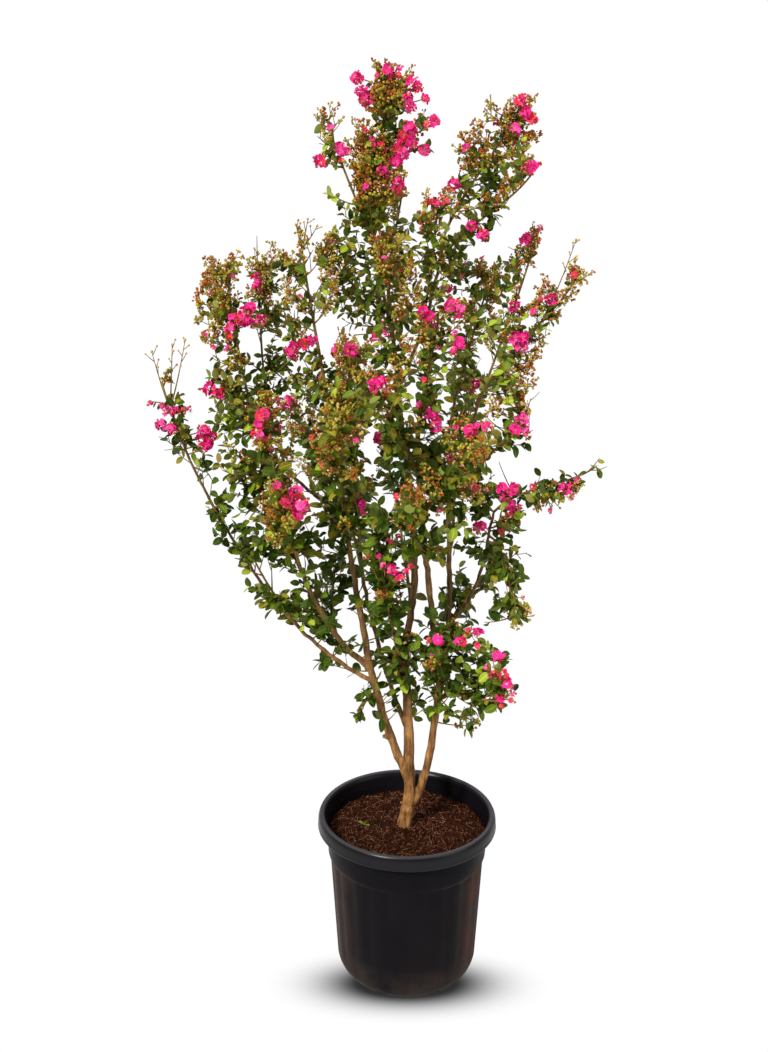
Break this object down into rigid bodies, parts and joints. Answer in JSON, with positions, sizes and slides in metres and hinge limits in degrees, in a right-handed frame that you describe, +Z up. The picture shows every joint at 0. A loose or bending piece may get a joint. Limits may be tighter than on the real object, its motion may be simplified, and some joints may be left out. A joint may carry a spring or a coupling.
{
  "type": "crape myrtle tree in a nursery pot",
  "caption": "Slender flowering crape myrtle with a forked trunk, fanning boughs and an airy crown of leaves, buds and pink blossom, standing in a black nursery pot.",
  "frame": {"origin": "middle of the pot's flat underside", "axes": "+Z up along the pot's axis and the tree's height, +X to the tree's right as seen from its front, +Y to its back"},
  "size_m": [0.9094, 0.7487, 1.9302],
  "materials": {
    "pot_plastic": "black moulded plastic with a soft sheen and pale dust",
    "potting_mix": "dark reddish-brown fibrous potting mix",
    "bark": "smooth tan bark with paler and darker streaks",
    "foliage": "glossy oval leaves from dark to yellow green",
    "blossom": "crinkled magenta-pink petals with yellow stamens",
    "buds": "round olive, rust and tan flower buds on thin stalks"
  },
  "bodies": {
    "root": {"bough_back": "bark", "bough_back_left": "bark", "bough_leader": "bark", "bough_left": "bark", "bough_left_inner": "bark", "bough_left_upper": "bark", "bough_middle": "bark", "bough_right_back": "bark", "bough_right_inner": "bark", "bough_right_outer": "bark", "bough_right_side": "bark", "bough_right_upper": "bark", "bough_sweep": "bark", "bough_top_right": "bark", "mass_back_left": "foliage", "mass_back_low": "foliage", "mass_back_middle": "foliage", "mass_back_right": "foliage", "mass_back_right_low": "foliage", "mass_back_top": "foliage", "mass_back_upper": "foliage", "mass_centre_front": "foliage", "mass_centre_left": "foliage", "mass_core": "foliage", "mass_far_left": "foliage", "mass_far_right": "foliage", "mass_front_left": "foliage", "mass_front_middle": "foliage", "mass_front_right": "foliage", "mass_inner_front": "foliage", "mass_inner_upper": "foliage", "mass_left_front": "foliage", "mass_left_hanging": "foliage", "mass_left_low": "foliage", "mass_left_spike": "foliage", "mass_left_top": "foliage", "mass_low_centre": "foliage", "mass_low_left": "foliage", "mass_middle_low": "foliage", "mass_middle_upper": "foliage", "mass_right": "foliage", "mass_right_hanging": "foliage", "mass_right_inner": "foliage", "mass_right_low": "foliage", "mass_right_tip": "foliage", "mass_right_upper": "foliage", "mass_top_centre": "foliage", "mass_top_left": "foliage", "mass_top_right": "foliage", "mass_top_right_side": "foliage", "mass_upper_middle": "foliage", "pot": "pot_plastic", "soil": "potting_mix", "stem_left": "bark", "stem_middle": "bark", "stem_right": "bark", "trunk": "bark"}
  },
  "joints": []
}
